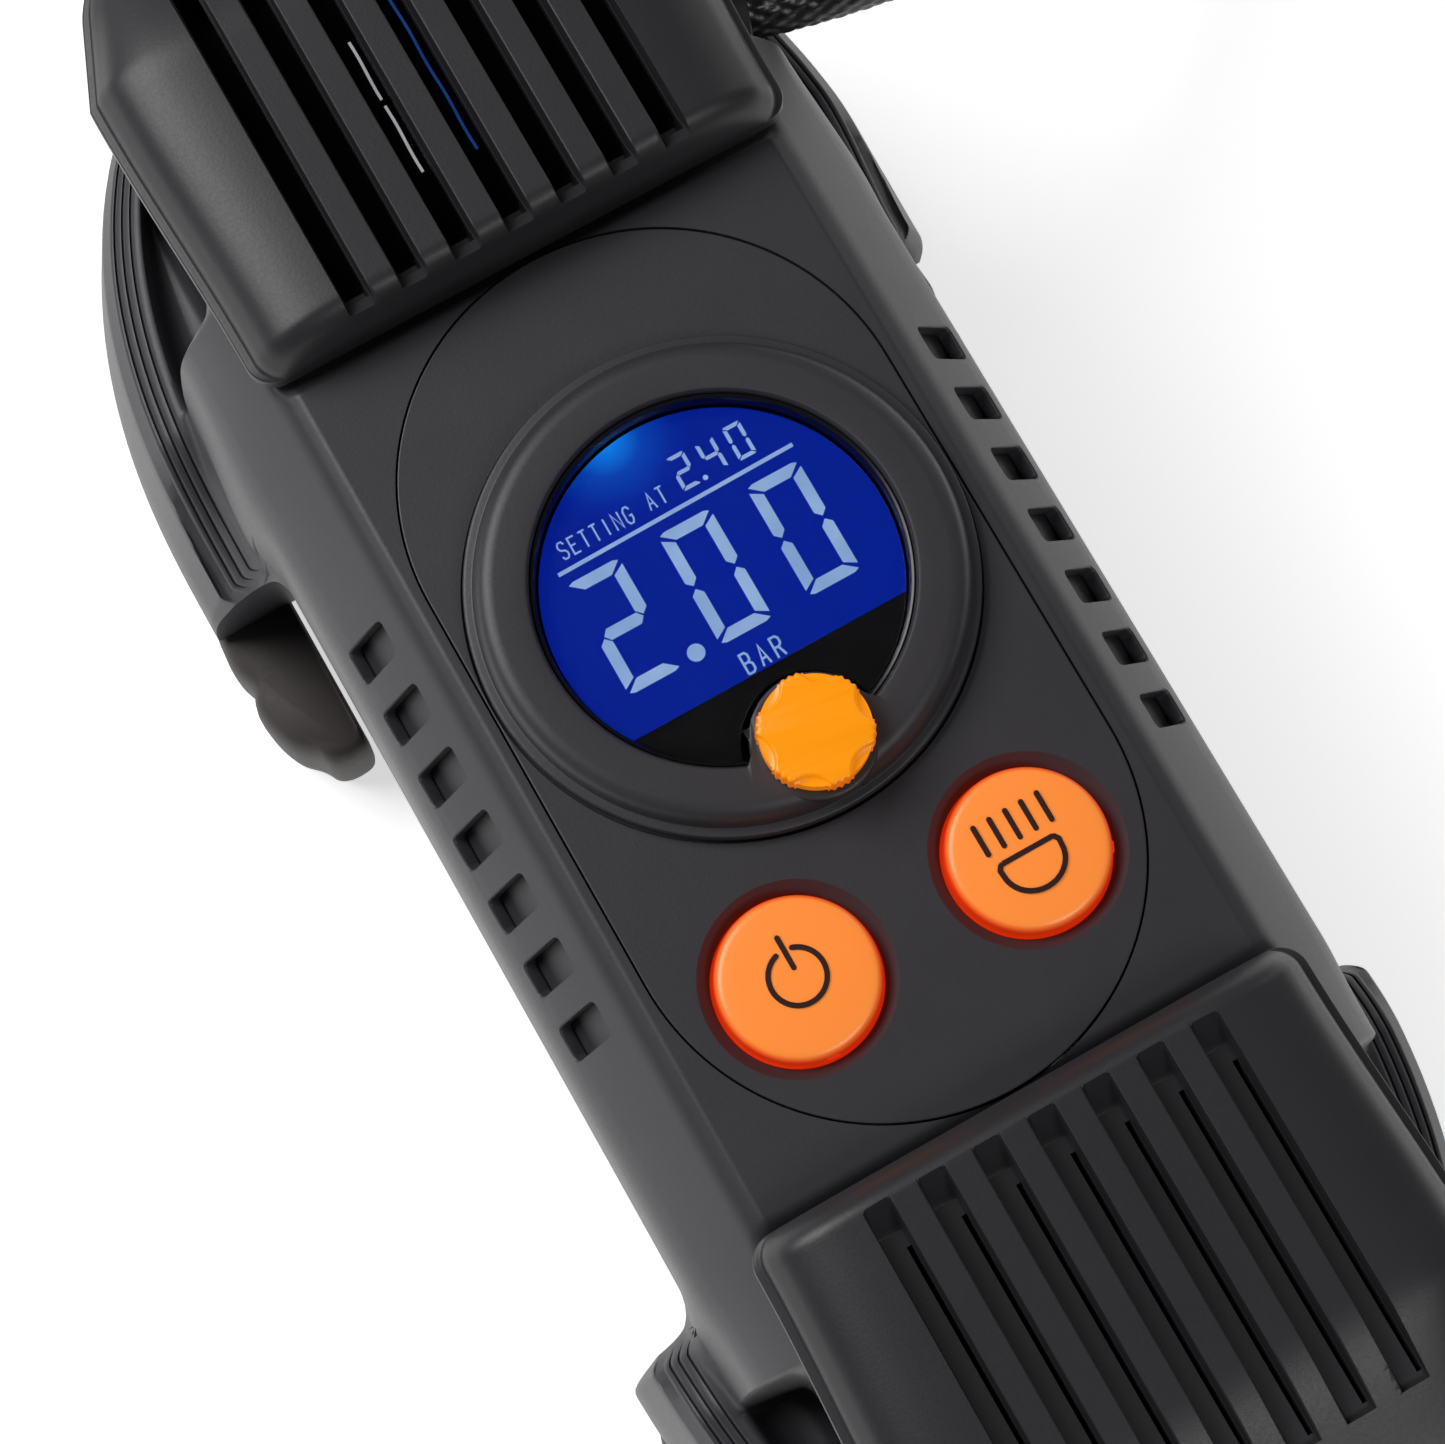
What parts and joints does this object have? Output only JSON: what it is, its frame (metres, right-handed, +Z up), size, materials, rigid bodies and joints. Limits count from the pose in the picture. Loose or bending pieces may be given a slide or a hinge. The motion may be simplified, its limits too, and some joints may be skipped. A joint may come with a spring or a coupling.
{
  "type": "tyre inflator",
  "caption": "Portable 12 V tyre inflator with a round pressure display, ribbed end covers, two push buttons, a set knob and a braided air hose.",
  "frame": {"origin": "centre of the housing at the level its feet stand on", "axes": "+Z up; +Y along the housing, towards the end the display reads up to; +X to the right of the display"},
  "size_m": [0.1576, 0.3361, 0.087],
  "materials": {
    "charcoal_plastic": "fine spark texture, matte",
    "cover_plastic": "fine spark texture, matte",
    "dark_plastic": "matte",
    "rubber": "soft matte",
    "orange_plastic": "satin translucent",
    "window_glass": "clear",
    "lcd": "backlit",
    "circuit_board": "solder mask",
    "steel": "brushed",
    "cast_alloy": "cast",
    "brass": "drawn",
    "gear_nylon": "moulded",
    "lamp_lens": "clear",
    "hose_braid": "textile braid"
  },
  "bodies": {
    "housing": {"upper_shell": "charcoal_plastic", "control_panel": "charcoal_plastic", "display_bezel": "charcoal_plastic", "base_shell": "dark_plastic", "front_vent_cover": "cover_plastic", "rear_vent_cover": "cover_plastic", "display_window": "window_glass", "lcd_module": "lcd", "knob_encoder": "steel", "power_switch": "dark_plastic", "light_switch": "dark_plastic", "control_board": "circuit_board", "motor_can": "steel", "gearbox_frame": "cast_alloy", "cylinder": "cast_alloy", "cylinder_head": "cast_alloy", "outlet_tube": "brass", "pressure_sensor": "dark_plastic", "hose_gland": "dark_plastic", "power_cord_gland": "dark_plastic", "led_lens": "lamp_lens", "led_reflector": "steel", "led_board": "circuit_board", "front_right_foot": "rubber", "front_left_foot": "rubber", "rear_right_foot": "rubber", "rear_left_foot": "rubber", "case_screw_1": "steel", "case_screw_2": "steel", "case_screw_3": "steel", "case_screw_4": "steel", "air_hose": "hose_braid", "air_hose_coil": "hose_braid", "air_hose_tail": "hose_braid", "connector_body": "dark_plastic"},
    "power_button": {"power_button": "orange_plastic"},
    "light_button": {"light_button": "orange_plastic"},
    "pressure_knob": {"pressure_knob": "orange_plastic"},
    "motor_rotor": {"motor_shaft": "steel", "cooling_fan": "dark_plastic"},
    "drive_gear": {"drive_gear": "gear_nylon"},
    "connecting_rod": {"connecting_rod": "cast_alloy"},
    "piston": {"piston": "cast_alloy", "piston_ring": "dark_plastic"},
    "connector_lever": {"connector_lever": "orange_plastic"}
  },
  "joints": [
    {"name": "power_button_press", "type": "slide", "parent": "housing", "child": "power_button", "axis": [0, 0, -1], "range_m": [0, 0.0012], "stiffness_N_per_m": 400, "springref_m": -0.0003},
    {"name": "light_button_press", "type": "slide", "parent": "housing", "child": "light_button", "axis": [0, 0, -1], "range_m": [0, 0.0012], "stiffness_N_per_m": 400, "springref_m": -0.0003},
    {"name": "pressure_knob_turn", "type": "hinge", "parent": "housing", "child": "pressure_knob", "pos_m": [0, -0.01, 0.082], "axis": [0, 0, 1], "continuous": true},
    {"name": "drive_gear_spin", "type": "hinge", "parent": "housing", "child": "drive_gear", "pos_m": [0.015, 0.003, 0.046], "axis": [0, 1, 0], "continuous": true},
    {"name": "motor_spin", "type": "hinge", "parent": "housing", "child": "motor_rotor", "pos_m": [-0.0019, -0.03, 0.0328], "axis": [0, 1, 0], "continuous": true},
    {"name": "connecting_rod_turn", "type": "hinge", "parent": "drive_gear", "child": "connecting_rod", "pos_m": [0.019, 0.018, 0.046], "axis": [0, 1, 0], "continuous": true},
    {"name": "piston_stroke", "type": "slide", "parent": "housing", "child": "piston", "axis": [-1, 0, 0], "range_m": [0, 0.008]},
    {"name": "connector_lever_lift", "type": "hinge", "parent": "housing", "child": "connector_lever", "pos_m": [-0.0128, 0.2129, 0.0113], "axis": [0, -1, 0], "range_deg": [0, 85]}
  ],
  "couplings": [
    {"joint": "motor_spin", "follows": "drive_gear_spin", "ratio": -4},
    {"joint": "connecting_rod_turn", "follows": "drive_gear_spin", "ratio": -1}
  ]
}
